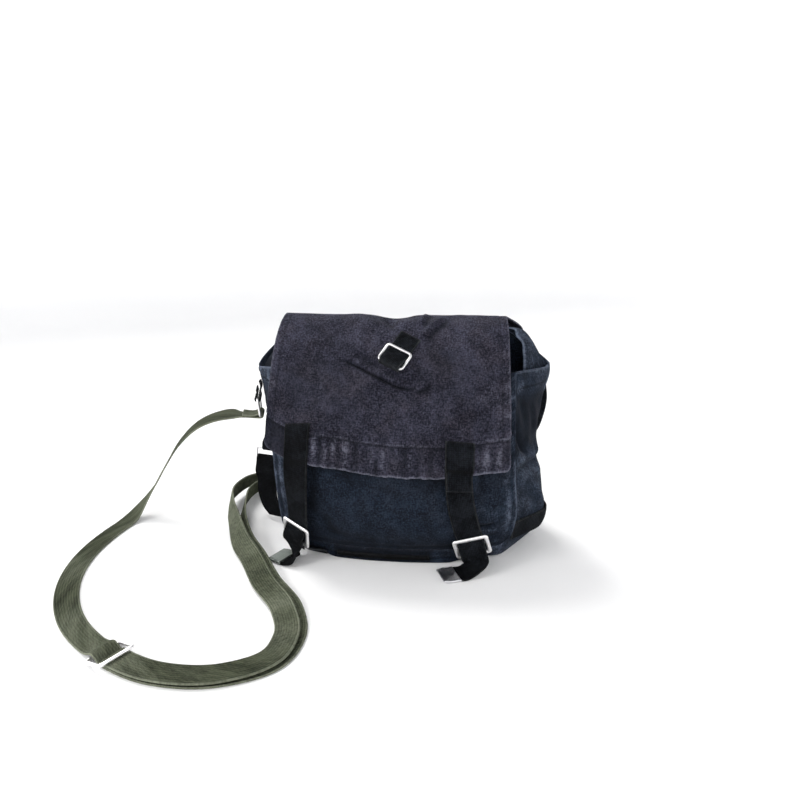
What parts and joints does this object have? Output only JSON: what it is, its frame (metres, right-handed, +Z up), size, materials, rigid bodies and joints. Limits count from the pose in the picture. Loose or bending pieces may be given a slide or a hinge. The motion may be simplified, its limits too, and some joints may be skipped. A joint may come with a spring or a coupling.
{
  "type": "canvas haversack",
  "caption": "Small canvas haversack with a lid flap, webbing front straps through wire frame buckles, a ringed lid loop and a webbing shoulder strap",
  "frame": {"origin": "the middle of the flat underside of the gusset, on the surface that the bag stands on", "axes": "X along the bag's width, to the right as the front is seen; Y from the front to the back; Z up"},
  "size_m": [0.494, 0.3878, 0.2399],
  "materials": {
    "canvas": "worn coarse canvas",
    "black_webbing": "ribbed webbing",
    "olive_webbing": "ribbed webbing",
    "bright_metal": "plated wire, lightly worn"
  },
  "bodies": {
    "root": {"back_panel": "canvas", "base_band": "black_webbing", "buckle_anchor_left": "black_webbing", "buckle_anchor_right": "black_webbing", "buckle_left": "bright_metal", "buckle_right": "bright_metal", "ear_left": "canvas", "ear_right": "canvas", "flap": "canvas", "front_panel": "canvas", "front_strap_left": "black_webbing", "front_strap_right": "black_webbing", "gusset": "canvas", "lid_loop": "black_webbing", "lid_ring": "bright_metal", "ring_tab_left": "black_webbing", "ring_tab_right": "black_webbing", "shoulder_strap": "olive_webbing", "side_band_right": "black_webbing", "side_ring_left": "bright_metal", "side_strap_left": "black_webbing", "side_tab_left": "black_webbing", "strap_patch_right": "black_webbing", "strap_return": "olive_webbing", "strap_ring_left": "bright_metal", "strap_ring_right": "bright_metal", "strap_slide": "bright_metal", "strap_tip_left": "bright_metal", "strap_tip_right": "bright_metal"}
  },
  "joints": []
}
